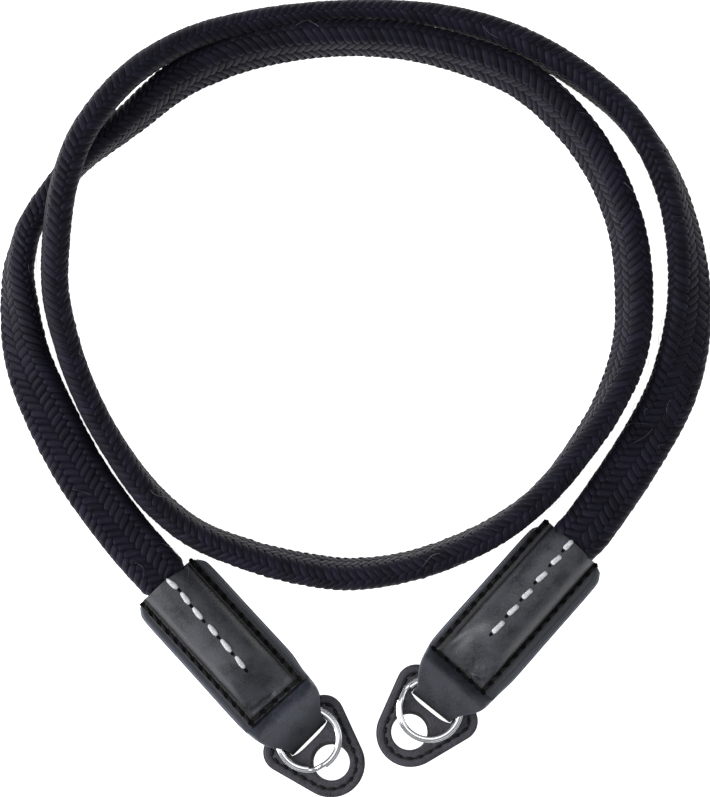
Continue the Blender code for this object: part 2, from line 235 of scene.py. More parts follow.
# The cord's route on the table, clockwise seen from above: millimetres across and up the
# sheet, lift of its underside, degrees from lying flat to standing on edge, and how thick it
# is beside its free thickness where the turns press on each other
ROUTE_START = (0.19 * MM, 0.43 * MM)
ROUTE = [
    (-62.5, 32.9, 2.3, 0, 1),
    (-71.9, 45.9, 0.8, 3, 1),
    (-79.8, 60.6, 0, 12, 1),
    (-85.9, 76.2, 0, 38, 1),
    (-87.9, 93.5, 0, 69, 1),
    (-86.8, 102.1, 0, 82, 1),
    (-83.8, 110.2, 0, 88, 1),
    (-73.4, 124.0, 0, 92, 1),
    (-60.6, 134.3, 0, 104, 1),
    (-48.5, 144.35, 0, 116, 1.02),
    (-34.6, 150.9, 0, 120, 1.04),
    (-19.8, 154.35, 0, 117, 1.06),
    (-5.0, 155.4, 0, 113, 1.06),
    (9.8, 154.35, 0, 115, 1.04),
    (24.25, 150.75, 0, 117, 1.02),
    (38.3, 144.7, 0, 121, 1),
    (50.05, 134.35, 0, 120, 1),
    (58.75, 121.65, 0, 116, 1),
    (64.25, 107.1, 0, 116, 1),
    (66.0, 92.2, 0, 117, 1),
    (65.0, 77.5, 0, 115, 1),
    (59.8, 63.8, 0, 105, 1),
    (52.2, 51.8, 0, 96, 1),
    (43.5, 41.2, 0, 91, 1),
    (32.8, 32.8, 0, 96, 1),
    (20.8, 26.8, 0, 99, 1),
    (8.2, 22.8, 0, 101, 1),
    (-5.0, 21.2, 0, 105, 1),
    (-18.2, 22.8, 0, 105, 1),
    (-31.0, 26.2, 0, 101, 1),
    (-43.8, 31.5, 0, 98, 1),
    (-54.5, 40.2, 0, 97, 1),
    (-63.05, 51.5, 0.3, 91, 1),
    (-70.05, 63.8, 1, 88, 1),
    (-75.2, 77.3, 3.7, 86, 1),
    (-78.4, 92.5, 8.7, 84, 1),
    (-77.7, 108.5, 13.1, 82, 1),
    (-75.5, 120.6, 13.4, 84, 1),
    (-70.5, 132.7, 13.2, 86, 1),
    (-59.7, 145.6, 9.7, 88, 1),
    (-45.4, 154.65, 4.2, 90, 0.92),
    (-29.2, 159.4, 0.7, 91, 0.84),
    (-13.1, 161.8, 0, 92, 0.72),
    (3.0, 162.2, 0, 92, 0.74),
    (19.5, 160.3, 0, 92, 0.9),
    (35.8, 155.2, 0, 95, 1),
    (51.0, 146.8, 0, 97, 1),
    (64.7, 135.3, 0, 91, 1),
    (74.2, 119.9, 0, 78, 1),
    (78.9, 102.5, 0, 60, 1),
    (79.6, 84.8, 0, 37, 1),
    (75.8, 67.7, 0, 16, 1),
    (67.8, 52.3, 0.3, 3, 1),
]


def set_camera():
    """Look straight down from far off, with the photograph's frame."""
    camera = bpy.data.objects.new("camera", bpy.data.cameras.new("camera"))
    bpy.context.scene.collection.objects.link(camera)
    camera.data.lens = LENS
    camera.data.sensor_width = SENSOR
    reach = PICTURE_LONG * LENS / SENSOR
    camera.location = (*PICTURE_CENTRE, FOCUS_HEIGHT + reach)
    bpy.context.scene.camera = camera


def catmull_rom(rows, steps):
    """Rows on the smooth curve through the given rows, each a tuple of numbers."""
    first = [2 * a - b for a, b in zip(rows[0], rows[1])]
    last = [2 * a - b for a, b in zip(rows[-1], rows[-2])]
    knots = [first, *rows, last]
    smooth = []
    for p, q, r, s in zip(knots, knots[1:], knots[2:], knots[3:]):
        for step in range(steps):
            t = step / steps
            smooth.append([
                0.5 * (2 * b + (c - a) * t + (2 * a - 5 * b + 4 * c - d) * t**2
                       + (3 * b - a - 3 * c + d) * t**3)
                for a, b, c, d in zip(p, q, r, s)
            ])
    smooth.append(list(rows[-1]))
    return np.array(smooth)


def end_matrix(spot):
    """From an end's own frame, its fold at x = 0 and its pad towards +X, to the table."""
    turn = Matrix.Rotation(math.radians(spot["heading"]), 4, "Z")
    return Matrix.Translation((spot["x"], spot["y"], 0)) @ turn


def cord_spine():
    """Stations along the cord: reach, middle, the section's wide axis and its face normal,
    and its width and thickness beside the free cord's."""
    pockets = []
    for spot in ENDS.values():
        run = []
        for inside in (POCKET_DEPTH, POCKET_DEPTH / 2, 0, -CORD_LEAD):
            place = end_matrix(spot) @ Vector((inside - END_LENGTH, spot["cord_shift"], 0))
            squeeze = np.interp(inside, (-CORD_LEAD, 0, POCKET_DEPTH / 2),
                                (1, MOUTH_SQUEEZE, POCKET_SQUEEZE))
            run.append((place.x, place.y, CORD_SEAT, 0, squeeze, squeeze))
        pockets.append(run)
    table = [(ROUTE_START[0] + x * MM, ROUTE_START[1] + y * MM, lift * MM, turn, thick, 1)
             for x, y, lift, turn, thick in ROUTE]
    rows = catmull_rom(pockets[0] + table + pockets[1][::-1], 24)
    turn = np.radians(rows[:, 3])
    thick = CORD_THICKNESS * rows[:, 4]
    stand = (CORD_WIDTH * rows[:, 5] - thick) * np.abs(np.sin(turn))
    middle = rows[:, :3].copy()
    middle[:, 2] = np.maximum(rows[:, 2], 0) + (thick + stand) / 2 + STRAND_PROUD
    steps = np.linalg.norm(np.diff(middle, axis=0), axis=1)
    reached = np.concatenate([[0], np.cumsum(steps)])
    count = int(reached[-1] / STATION)
    reach = np.linspace(0, reached[-1], count)
    middle = np.stack([np.interp(reach, reached, middle[:, axis]) for axis in range(3)], 1)
    turn, thickness, width = (np.interp(reach, reached, column)
                              for column in (turn, rows[:, 4], rows[:, 5]))
    tangent = np.gradient(middle, reach, axis=0)
    tangent /= np.linalg.norm(tangent, axis=1)[:, None]
    right = np.cross(tangent, (0, 0, 1))
    right /= np.linalg.norm(right, axis=1)[:, None]
    up = np.cross(right, tangent)
    wide = np.cos(turn)[:, None] * right + np.sin(turn)[:, None] * up
    face = -np.sin(turn)[:, None] * right + np.cos(turn)[:, None] * up
    return np.column_stack([reach, middle, wide, face, width, thickness])


def cord_skin(spine, reach, around, proud):
    """Points on the cord: how far along, how far round from the middle of its wide face, and
    how far out from its free surface."""
    radius = CORD_THICKNESS / 2
    flat = CORD_WIDTH / 2 - radius
    side = np.sign(around)
    past = np.abs(around) - flat
    turned = np.clip(past / radius, 0, math.pi)
    beyond = np.clip(past - math.pi * radius, 0, None)
    out_wide = side * np.sin(turned)
    out_face = np.cos(turned)
    wide = side * (np.minimum(np.abs(around), flat) - beyond) + (radius + proud) * out_wide
    face = (radius + proud) * out_face
    columns = [np.interp(reach, spine[:, 0], spine[:, number]) for number in range(1, 12)]
    middle = np.stack(columns[0:3], -1)
    wide_axis = np.stack(columns[3:6], -1)
    face_axis = np.stack(columns[6:9], -1)
    return middle + (wide * columns[9])[..., None] * wide_axis \
        + (face * columns[10])[..., None] * face_axis


def grid_faces(rows, columns, wrap=False, start=0):
    """Quads over a grid of points numbered row by row."""
    across = np.arange(columns if wrap else columns - 1)
    along = np.arange(rows - 1)[:, None] * columns + start
    here = along + across
    beside = along + (across + 1) % columns
    return np.stack([here, beside, beside + columns, here + columns], -1).reshape(-1, 4)


def tube_faces(rows, columns):
    """Quads round a tube whose rows of points are its sections, and its two ends."""
    count = rows * columns
    return grid_faces(rows, columns, wrap=True).tolist() + [
        list(range(columns)), list(range(count - columns, count))]


def add_piece(name, points, faces, finish, body="strap", uv=None, uv_name="wear",
              matrix=None, keep_angle=None):
    """Put a mesh in the scene, riding on a body and given its finish."""
    mesh = bpy.data.meshes.new(name)
    points = np.asarray(points).reshape(-1, 3)
    mesh.from_pydata(points.tolist(), [], [list(map(int, face)) for face in faces])
    if matrix:
        mesh.transform(matrix)
    mesh.materials.append(finish)
    mesh.shade_smooth()
    if keep_angle:
        mesh.set_sharp_from_angle(angle=math.radians(keep_angle))
    if uv is not None:
        layer = mesh.uv_layers.new(name=uv_name)
        corners = np.empty(len(mesh.loops), dtype=np.int32)
        mesh.loops.foreach_get("vertex_index", corners)
        layer.data.foreach_set("uv", np.asarray(uv).reshape(-1, 2)[corners].ravel())
    piece = bpy.data.objects.new(name, mesh)
    bpy.context.scene.collection.objects.link(piece)
    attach(piece, body)
    return piece


def linear(code):
    """An sRGB hex colour as the linear numbers that a shader takes."""
    channels = [int(code[place:place + 2], 16) / 255 for place in (1, 3, 5)]
    return (*(c / 12.92 if c <= 0.04045 else ((c + 0.055) / 1.055) ** 2.4
              for c in channels), 1)


def per(millimetres):
    """A texture's scale, for a pattern that repeats in that many millimetres."""
    return 1 / (millimetres * MM)


def add(tree, kind, inputs=None, stops=(), **settings):
    """Add a node with its settings, its values, its links and, for a ramp, its stops."""
    made = tree.nodes.new("ShaderNode" + kind)
    for name, value in settings.items():
        setattr(made, name, value)
    for name, value in (inputs or {}).items():
        if isinstance(value, bpy.types.NodeSocket):
            tree.links.new(value, made.inputs[name])
        else:
            made.inputs[name].default_value = value
    if stops:
        elements = made.color_ramp.elements
        while len(elements) < len(stops):
            elements.new(0.5)
        for element, (place, code) in zip(elements, stops):
            element.position = place
            element.color = linear(code)
    return made


def start_material(name, **values):
    """A new material with its shader's own values: its tree and its shader."""
    material = bpy.data.materials.new(name)
    material.use_nodes = True
    tree = material.node_tree
    shader = tree.nodes["Principled BSDF"]
    for socket, value in values.items():
        shader.inputs[socket.replace("_", " ")].default_value = value
    return material, tree, shader


def mottle(tree, shader, size, detail, stops):
    """Colour a shader by soft noise of a size in millimetres; gives the noise's output."""
    place = add(tree, "TexCoord").outputs["Object"]
    cloud = add(tree, "TexNoise", {"Vector": place, "Scale": per(size), "Detail": detail})
    base = add(tree, "ValToRGB", {"Fac": cloud.outputs["Fac"]}, stops=stops)
    tree.links.new(base.outputs["Color"], shader.inputs["Base Color"])
    return cloud.outputs["Fac"]


def silk_strand():
    """Dyed silk, laid in flat untwisted strands: near black with a blue cast, the filaments
    running along each strand and catching a soft light."""
    material, tree, shader = start_material("dyed_silk_strand", Roughness=0.55, IOR=1.5,
                                            Specular_IOR_Level=0.08, Sheen_Weight=0.05,
                                            Sheen_Roughness=0.4)
    strand = add(tree, "UVMap", uv_map="strand").outputs["UV"]
    stretched = add(tree, "Mapping", {"Vector": strand, "Scale": (0.16, 1, 1)}).outputs["Vector"]
    filament = add(tree, "TexNoise", {"Vector": stretched, "Scale": per(0.3), "Detail": 3})
    island = add(tree, "NewGeometry").outputs["Random Per Island"]
    tone = add(tree, "Math", {0: island, 1: 0.35}, operation="MULTIPLY").outputs[0]
    mixed = add(tree, "Math", {0: filament.outputs["Fac"], 1: tone}, operation="ADD").outputs[0]
    base = add(tree, "ValToRGB", {"Fac": mixed},
               stops=[(0.3, "#0b0a12"), (0.6, "#12111b"), (0.9, "#1b1a27")])
    tree.links.new(base.outputs["Color"], shader.inputs["Base Color"])
    bump = add(tree, "Bump", {"Height": filament.outputs["Fac"], "Strength": 0.6,
                              "Distance": 0.1 * MM})
    tree.links.new(bump.outputs["Normal"], shader.inputs["Normal"])
    return material


def silk_core():
    """The braid's inner yarns, seen only as the dark between the strands."""
    material, tree, shader = start_material("shaded_silk_core", Roughness=0.9,
                                            Specular_IOR_Level=0.1)
    mottle(tree, shader, 0.8, 2, [(0.3, "#0b0a10"), (0.7, "#131219")])
    return material


def silk_fibre():
    """Single silk filaments that have worked loose: grey, and shiny along their length."""
    material, tree, shader = start_material("loose_silk_filament", Roughness=0.35, IOR=1.5)
    mottle(tree, shader, 4, 2, [(0.35, "#3c3b46"), (0.7, "#6a6974")])
    return material


def leather(name, dark, light, roughness, grain, relief, specular):
    """Drum-dyed leather with a fine grain: an even dark tone broken by pores and soft clouds,
    satin where it is finished; its UV map adds painted shade, towards near black, in seams,
    grooves, folds and recesses, and a pale painted reflection of the white sheet on its edges."""
    material, tree, shader = start_material(name, Roughness=roughness, IOR=1.5,
                                            Specular_IOR_Level=specular)
    place = add(tree, "TexCoord").outputs["Object"]
    cloud = add(tree, "TexNoise", {"Vector": place, "Scale": per(4.5), "Detail": 5,
                                   "Roughness": 0.6})
    pores = add(tree, "TexVoronoi", {"Vector": place, "Scale": per(grain)},
                feature="SMOOTH_F1")
    fine = add(tree, "TexNoise", {"Vector": place, "Scale": per(grain * 0.8), "Detail": 4})
    speckle = add(tree, "Math", {0: fine.outputs["Fac"], 1: 0.6, 2: cloud.outputs["Fac"]},
                  operation="MULTIPLY_ADD")
    tone = add(tree, "Math", {0: pores.outputs["Distance"], 1: 0.2, 2: speckle.outputs[0]},
               operation="MULTIPLY_ADD")
    base = add(tree, "ValToRGB", {"Fac": tone.outputs[0]}, stops=[(0.7, dark), (1.0, light)])
    light_channels = add(tree, "SeparateXYZ", {0: add(tree, "UVMap", uv_map="wear").outputs["UV"]})
    # Painted shade: darkens towards near black where the UV map's first channel says
    with_painted_shade = add(tree, "MixRGB", {"Fac": light_channels.outputs["X"], "Color1": base.outputs["Color"],
                                  "Color2": linear("#09090b")})
    # Painted reflection: pales the edges where the UV map's second channel says
    with_painted_reflection = add(tree, "MixRGB", {"Fac": light_channels.outputs["Y"], "Color1": with_painted_shade.outputs["Color"],
                                  "Color2": linear("#585c6b")})
    tree.links.new(with_painted_reflection.outputs["Color"], shader.inputs["Base Color"])
    satin = add(tree, "MapRange", {"Value": speckle.outputs[0], "From Min": 0.6,
                                   "From Max": 1.0, "To Min": roughness - 0.08,
                                   "To Max": roughness + 0.14})
    tree.links.new(satin.outputs["Result"], shader.inputs["Roughness"])
    height = add(tree, "Math", {0: fine.outputs["Fac"], 1: 0.8, 2: pores.outputs["Distance"]},
                 operation="MULTIPLY_ADD")
    bump = add(tree, "Bump", {"Height": height.outputs[0], "Strength": 0.8,
                              "Distance": relief * MM})
    tree.links.new(bump.outputs["Normal"], shader.inputs["Normal"])
    return material


def thread(name, dark, light, roughness, specular):
    """Waxed, twisted sewing thread: fluffy tone, and a slight shine from the wax."""
    material, tree, shader = start_material(name, Roughness=roughness, IOR=1.5,
                                            Specular_IOR_Level=specular)
    fluff = mottle(tree, shader, 0.5, 3, [(0.3, dark), (0.7, light)])
    bump = add(tree, "Bump", {"Height": fluff, "Strength": 0.5, "Distance": 0.1 * MM})
    tree.links.new(bump.outputs["Normal"], shader.inputs["Normal"])
    return material


def polished_wire():
    """Stainless steel wire, rolled flat and polished: bright, with faint rub marks."""
    material, tree, shader = start_material("polished_steel_wire", Metallic=1.0, Roughness=0.2)
    rub = mottle(tree, shader, 2.5, 3, [(0.3, "#c2c4c8"), (0.7, "#d4d5d8")])
    rough = add(tree, "MapRange", {"Value": rub, "To Min": 0.13, "To Max": 0.2})
    tree.links.new(rough.outputs["Result"], shader.inputs["Roughness"])
    return material


def white_sheet():
    """Plain white paper, lit so that it shows pure white."""
    material, tree, shader = start_material("white_paper_sheet", Roughness=0.9,
                                            Emission_Strength=1.0, Specular_IOR_Level=0.1)
    shader.inputs["Base Color"].default_value = linear("#e8e8e8")
    shader.inputs["Emission Color"].default_value = linear("#ffffff")
    return material


def build_cord(finishes):
    """The cord's core, and the braid's strands on it."""
    spine = cord_spine()
    length = spine[-1, 0]
    quarter = (CORD_WIDTH - CORD_THICKNESS) / 2 + math.pi * CORD_THICKNESS / 4
    around = np.linspace(-2 * quarter, 2 * quarter, CORE_SIDES, endpoint=False)
    reach, turn = np.meshgrid(spine[::3, 0], around, indexing="ij")
    points = cord_skin(spine, reach, turn, -STRAND_RELIEF)
    core = add_piece("cord_core", points, tube_faces(*reach.shape), finishes["core"])
    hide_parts("silk_cord")

    chance = np.random.default_rng(7)
    # Each set of strands: the line it starts from, the line it runs to, and its half step
    lines = [(0, FORWARD_LINE, 0), (0, -FORWARD_LINE, 1),
             (quarter, FORWARD_LINE, 1), (-quarter, -FORWARD_LINE, 0),
             (quarter, 2 * quarter - FORWARD_LINE, 0), (-quarter, FORWARD_LINE - 2 * quarter, 1),
             (2 * quarter, 2 * quarter - FORWARD_LINE, 1),
             (-2 * quarter, FORWARD_LINE - 2 * quarter, 0)]
    # A strand's sections, as shares of its length, and the points over its half width
    along = np.array([-0.14, -0.06, 0.02, 0.14, 0.38, 0.62, 0.86, 0.98, 1.06, 1.14])
    across = np.array([-1, -0.82, -0.5, 0, 0.5, 0.82, 1])
    counts = int(length / BRAID_PITCH) - 2
    hidden = round((POCKET_DEPTH - MOUTH_TUCK) / BRAID_PITCH)
    for part in range(BRAID_PARTS):
        shown = np.linspace(hidden, counts - hidden, BRAID_PARTS + 1).round()
        numbers = np.arange(shown[part], shown[part + 1])
        all_points = []
        all_uv = []
        for back, forward, phase in lines:
            travel = abs(forward - back) / math.tan(math.radians(STRAND_SLANT))
            slant_length = abs(forward - back) / math.sin(math.radians(STRAND_SLANT))
            half = BRAID_PITCH * math.sin(math.radians(STRAND_SLANT)) / 2 * STRAND_OVERLAP
            tip = (numbers + 0.5 * phase + 1) * BRAID_PITCH
            tip = tip + chance.normal(0, 0.05 * MM, tip.size)
            t, c = along[None, :, None], across[None, None, :]
            size = chance.normal(1, 0.04, tip.size)[:, None, None]
            past = np.abs(2 * t - 1)
            narrow = 1 - 0.16 * past.clip(0, 1.2) ** 6
            side = math.copysign(1, forward - back)
            sideways = c * half * size * narrow
            bow = STRAND_BOW * np.sin(math.pi * t.clip(0, 1))
            run = tip[:, None, None] - travel * (1 - t) + bow \
                + sideways * math.sin(math.radians(STRAND_SLANT))
            turn = back + (forward - back) * t \
                - side * sideways * math.cos(math.radians(STRAND_SLANT))
            dip = STRAND_END_DROP * past.clip(0, 1) ** 5 \
                + STRAND_DIVE * (past - 1).clip(0, None)
            arch = STRAND_EDGE_DROP * np.abs(c) ** 3.4
            lift = chance.normal(STRAND_PROUD + 0.05 * MM, 0.04 * MM, tip.size)[:, None, None]
            inside = np.maximum(POCKET_DEPTH - run, run - length + POCKET_DEPTH)
            proud = lift - dip - arch - MOUTH_SINK * (inside / MOUTH_SINK_RUN + 0.4).clip(0, 1)
            all_points.append(cord_skin(spine, run, turn, proud))
            all_uv.append(np.stack([np.broadcast_to(slant_length * t, run.shape),
                                    sideways + tip[:, None, None] * 3], -1))
        points = np.concatenate(all_points)
        grid = grid_faces(len(along), len(across))
        count = len(along) * len(across)
        faces = (grid[None] + np.arange(len(points))[:, None, None] * count).reshape(-1, 4)
        add_piece(f"braid_strands_{part + 1}", points, faces.tolist(),
                                finishes["strand"], uv=np.concatenate(all_uv),
                                uv_name="strand")
    add_fibres(spine, quarter, finishes["fibre"])


def strip_half_width(x):
    """Half the strip's width at a place along an end, from the cord's mouth to the fold."""
    share = 1 + np.asarray(x) / END_LENGTH
    return TONGUE_WIDTH / 2 + (STRIP_WIDTH - TONGUE_WIDTH) / 2 * np.interp(
        share, STRIP_CURVE[:, 0], STRIP_CURVE[:, 1])


def arc(middle_x, middle_z, radius, start, end, steps):
    """Points of an arc, its angles in degrees."""
    angles = np.radians(np.linspace(start, end, steps + 1))
    return np.column_stack([middle_x + radius * np.cos(angles),
                            middle_z + radius * np.sin(angles)])


def add_fibres(spine, quarter, finish):
    """Single filaments that curl off the braid, thickest where it has been chafed."""
    chance = np.random.default_rng(11)
    starts = list(chance.uniform(0, spine[-1, 0], STRAY_FIBRES))
    for (x, y), count in FIBRE_TUFTS:
        nearest = np.argmin(np.hypot(spine[:, 1] - x, spine[:, 2] - y))
        starts += list(spine[nearest, 0] + chance.normal(0, 4 * MM, count))
    t = np.linspace(0, 1, 9)
    turns = np.radians((0, 120, 240))
    points = []
    faces = []
    for start in starts:
        length, sweep = chance.uniform(*FIBRE_LENGTHS), chance.normal(0, 2.2 * MM)
        bend, rise = chance.normal(0, 1.2 * MM), chance.uniform(*FIBRE_RISES)
        reach = start + length * t
        around = chance.uniform(-2, 2) * quarter + sweep * t + bend * np.sin(math.pi * t)
        proud = STRAND_PROUD + 0.1 * MM + rise * np.sin(math.pi * t ** 0.8)
        ring = [cord_skin(spine, reach, around + FIBRE_RADIUS * math.cos(turn),
                          proud + FIBRE_RADIUS * math.sin(turn)) for turn in turns]
        faces += (grid_faces(len(t), 3, wrap=True) + len(points)).tolist()
        points += np.stack(ring, 1).reshape(-1, 3).tolist()
    return add_piece("loose_fibres", points, faces, finish)


def add_strip(name, spot, finish):
    """One long strip: over the ring, down through the pad's slot, and back under itself."""
    half = STRIP_THICKNESS / 2
    flat = np.arange(-END_LENGTH, RISE_START, 0.9 * MM)
    share = np.linspace(0, 1, 14)
    ease = (1 - np.cos(math.pi * share)) / 2
    rise = np.column_stack([RISE_START + (RISE_END - RISE_START) * share,
                            3 * half + (TONGUE_MIDDLE - 3 * half) * ease])
    crown = np.column_stack([np.linspace(RISE_END + 0.4 * MM, FALL_START - 0.3 * MM, 3),
                             np.full(3, TONGUE_MIDDLE)])
    turn = np.radians(np.linspace(90, 0, 22))
    fall = np.column_stack([
        FALL_START - (half + FALL_START) * np.cos(turn) ** (2 / FALL_FULLNESS),
        FALL_FOOT + (TONGUE_MIDDLE - FALL_FOOT) * np.sin(turn) ** (2 / FALL_FULLNESS)])
    foot = arc(-half - FOLD_FOOT_RADIUS, half + FOLD_FOOT_RADIUS, FOLD_FOOT_RADIUS, 0, -90, 8)
    back = np.arange(-4 * MM, -END_LENGTH - 0.1 * MM, -1.0 * MM)
    path = np.concatenate([
        np.column_stack([flat, np.full(flat.size, 3 * half)]), rise, crown, fall, foot,
        np.column_stack([back, np.full(back.size, half)])])
    under = np.arange(len(path)) >= len(path) - len(back) - 4
    along = np.gradient(path, axis=0)
    along /= np.linalg.norm(along, axis=1)[:, None]
    across = np.column_stack([-along[:, 1], along[:, 0]])
    parted = np.clip((RISE_START - path[:, 0]) / (3 * MM), 0, 1) * ~under
    width = strip_half_width(path[:, 0]) - STRIP_STEP * parted
    skew = FOLD_SKEW * np.clip((path[:, 0] - RISE_END) / (FALL_START - RISE_END + 2 * MM), 0, 1)
    skew *= ~under
    # Painted shade that darkens the tongue towards its fold
    shade = FOLD_SHADE * np.clip((path[:, 0] - FALL_START - 0.6 * MM) / (5 * MM), 0, 1) * ~under
    # Over half the strip, from its edge in: how far, the heights with and without the scored
    # line, the painted reflection along the edge and the painted shade in the scored line
    from_edge = np.array([0, 0.05, 0.18, 0.4, 0.95, 1.15, 1.3, 1.45, 1.7, 4.0]) * MM
    height = np.array([0.1, 0.6, 0.93, 1.0, 1.0, 0.97, 0.88, 0.97, 1.0, 1.0, 1.0]) * half
    plain = np.array([0.1, 0.6, 0.93, 1.0, 1.0, 1.0, 1.0, 1.0, 1.0, 1.0, 1.0]) * half
    pale = np.array([0.15, 0.3, 0.4, 0.15, 0, 0, 0, 0, 0, 0, 0])
    scored = np.array([0.2, 0, 0, 0, 0, 0.2, 0.6, 0.2, 0, 0, 0])
    points = []
    wear = []
    for (x, z), (nx, nz), edge, lean, dark, line in zip(path, across, width, skew, shade,
                                                        parted):
        side = np.append(edge - from_edge, 0)
        y = np.concatenate([-side, side[-2::-1], side, -side[-2::-1]])
        top = plain + (height - plain) * line
        out = np.concatenate([top, top[-2::-1], -plain, -plain[-2::-1]])
        ear = 1 - np.clip((x + END_LENGTH) / EAR_LENGTH, 0, 1)
        x_here = x + nx * out + lean * y + (spot["ear_shift"] + spot["ear_lean"] * y) * ear
        bend = math.exp(-((x - SHOULDER_AT) / SHOULDER_SPREAD) ** 2) * spot["shoulder"]
        points.append(np.column_stack([x_here, y + bend * (y / edge).clip(0, 1) ** 2,
                                       z + nz * out]))
        # Painted shade in the scored line and towards the fold, and painted reflection on the
        # edges
        seam = np.concatenate([scored, scored[-2::-1], 0 * pale, 0 * pale[-2::-1]]) * line
        rim = np.concatenate([pale, pale[-2::-1], pale, pale[-2::-1]])
        wear.append(np.column_stack([np.maximum(seam, dark), rim * (1 - dark)]))
    strip = add_piece(f"{name}_leather_strip", np.concatenate(points),
                      tube_faces(len(path), len(points[0])), finish,
                      uv=np.concatenate(wear), matrix=end_matrix(spot), keep_angle=50)
    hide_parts(f"{name}_end_strap")


def seam_rows(x, y, spot, breadth):
    """How near a place on the cover is to its stitch rows: 1 on a row, 0 well away."""
    end_row = spot["cover_end"] - COVER_STITCH_INSET
    side = np.abs(y - spot["hem_shift"]) - COVER_STITCH_SIDE
    beside = np.exp(-(side / breadth) ** 2) * (x < end_row + SEAM_HALF_WIDTH)
    across = np.exp(-((x - end_row) / breadth) ** 2) * (side < SEAM_HALF_WIDTH)
    return np.maximum(beside, across)


def cover_height(x, y, spot):
    """Height of the cover's outside over the table, in an end's own frame."""
    end_row = spot["cover_end"] - COVER_STITCH_INSET
    fall = np.clip((x - end_row + 1.2 * MM + COVER_FALL) / COVER_FALL, 0, 1)
    share = (1 + np.cos(math.pi * fall)) / 2
    reach = np.clip(np.abs(y - spot["bulge_shift"]) / COVER_BULGE, 0, 1)
    bulge = (1 - reach ** 2.5) ** 0.6
    height = COVER_HEM + (COVER_CROWN - COVER_HEM) * bulge * share
    height = height - SEAM_DEPTH * seam_rows(x, y, spot, SEAM_HALF_WIDTH)
    for crease in spot["creases"]:
        ax, ay, bx, by, breadth, depth = (value * MM for value in crease)
        run = (bx - ax) ** 2 + (by - ay) ** 2
        t = np.clip(((x - ax) * (bx - ax) + (y - ay) * (by - ay)) / run, 0, 1)
        away = np.hypot(x - ax - t * (bx - ax), y - ay - t * (by - ay))
        height = height - depth * np.exp(-(away / breadth) ** 2)
    crumple = np.exp(-((x - end_row + 6 * MM) / (5 * MM)) ** 2) * (bulge > 0.05)
    crumpled = noise_field(x, y, spot["seed"], CRUMPLE_SIZE) * CRUMPLE_DEPTH * crumple
    soft = noise_field(x, y, spot["seed"] + 40, WAVE_SIZE) * WAVE_DEPTH * (bulge > 0.05)
    return height + crumpled + soft


def noise_field(x, y, seed, size):
    """Smooth noise, about -1 to 1, over a sheet."""
    x, y = np.broadcast_arrays(x, y)
    values = [noise.noise((a / size, b / size, seed)) for a, b in zip(x.ravel(), y.ravel())]
    return np.array(values).reshape(x.shape)


def add_cover(name, spot, finish):
    """Thin leather over the cord, sewn down along both sides and across its far end."""
    mouth, end = spot["mouth"], spot["cover_end"]
    x = np.concatenate([mouth + np.linspace(0, 1, 5) ** 2 * 1.2 * MM,
                        np.linspace(mouth + 2.0 * MM, end - 7 * MM, 45),
                        np.linspace(end - 6.7 * MM, end, 26)])
    edge = COVER_WIDTH / 2
    middle = COVER_SIDE_SHARE * edge
    y = np.concatenate([np.linspace(-edge, -middle, 14)[:-1], np.linspace(-middle, middle, 41),
                        np.linspace(middle, edge, 14)[1:]]) + spot["hem_shift"]
    grid_x, grid_y = np.meshgrid(x, y, indexing="ij")
    outside_z = cover_height(grid_x, grid_y, spot)
    from_side = edge - np.abs(grid_y - spot["hem_shift"])
    nearest = np.minimum(from_side, end - grid_x)
    rounding = np.clip(1 - nearest / COVER_EDGE_ROUNDING, 0, 1)
    outside_z -= COVER_EDGE_ROUNDING * rounding ** 2
    inwards = grid_x - mouth
    outside_z -= MOUTH_ROLL * np.exp(-inwards / MOUTH_ROLL_RUN) * (outside_z > COVER_HEM + MM)
    skew = np.interp(grid_y, (-MOUTH_SKEW_SIDE, 0, MOUTH_SKEW_SIDE), spot["mouth_skew"])
    skew *= 1 - np.clip(inwards / MOUTH_SKEW_RUN, 0, 1)
    outside = np.stack([grid_x + skew, grid_y, outside_z], -1)
    normal = np.cross(np.gradient(outside, axis=0), np.gradient(outside, axis=1))
    normal /= np.linalg.norm(normal, axis=-1)[..., None]
    inside = outside - COVER_WALL * normal
    inside[..., 2] = np.maximum(inside[..., 2], COVER_FOOT)
    # Painted shade along the seams, beating with the stitches, at the mouth and at the bulge's
    # foot
    foot = np.abs(grid_y - spot["bulge_shift"]) - COVER_BULGE - 0.1 * MM
    beat = np.cos(2 * math.pi * (inwards - 0.6 * MM) / COVER_PITCH)
    dark = (0.72 + 0.2 * beat) * seam_rows(grid_x, grid_y, spot, SEAM_SHADE_WIDTH) \
        + 0.45 * np.exp(-inwards / MOUTH_SHADE_WIDTH) \
        + 0.75 * np.exp(-(foot / FOOT_SHADE_WIDTH) ** 2)
    # The cover is also darkened over its rounded edge
    wear = np.stack([np.maximum(dark, rounding).clip(0, 0.95), 0 * dark], -1).reshape(-1, 2)
    rows, columns = grid_x.shape
    count = rows * columns
    faces = grid_faces(rows, columns).tolist()
    faces += [face[::-1] for face in grid_faces(rows, columns, start=count).tolist()]
    rim = list(range(columns))
    rim += list(range(2 * columns - 1, count, columns))
    rim += list(range(count - 2, count - columns - 1, -1))
    rim += list(range(count - 2 * columns, 0, -columns))
    for here, beside in zip(rim, rim[1:] + rim[:1]):
        faces.append([beside, here, here + count, beside + count])
    points = np.concatenate([outside.reshape(-1, 3), inside.reshape(-1, 3)])
    cover = add_piece(f"{name}_leather_cover", points, faces, finish,
                      uv=np.concatenate([wear, wear]), matrix=end_matrix(spot), keep_angle=55)
    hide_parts(f"{name}_cover")


def hull(points):
    """The convex outline round a set of points."""
    ordered = sorted(points)
    outline = []
    for sequence in (ordered, ordered[::-1]):
        chain = []
        for x, y in sequence:
            while len(chain) > 1:
                (ax, ay), (bx, by) = chain[-2:]
                if (bx - ax) * (y - ay) - (by - ay) * (x - ax) > 0:
                    break
                chain.pop()
            chain.append((x, y))
        outline += chain[:-1]
    return outline


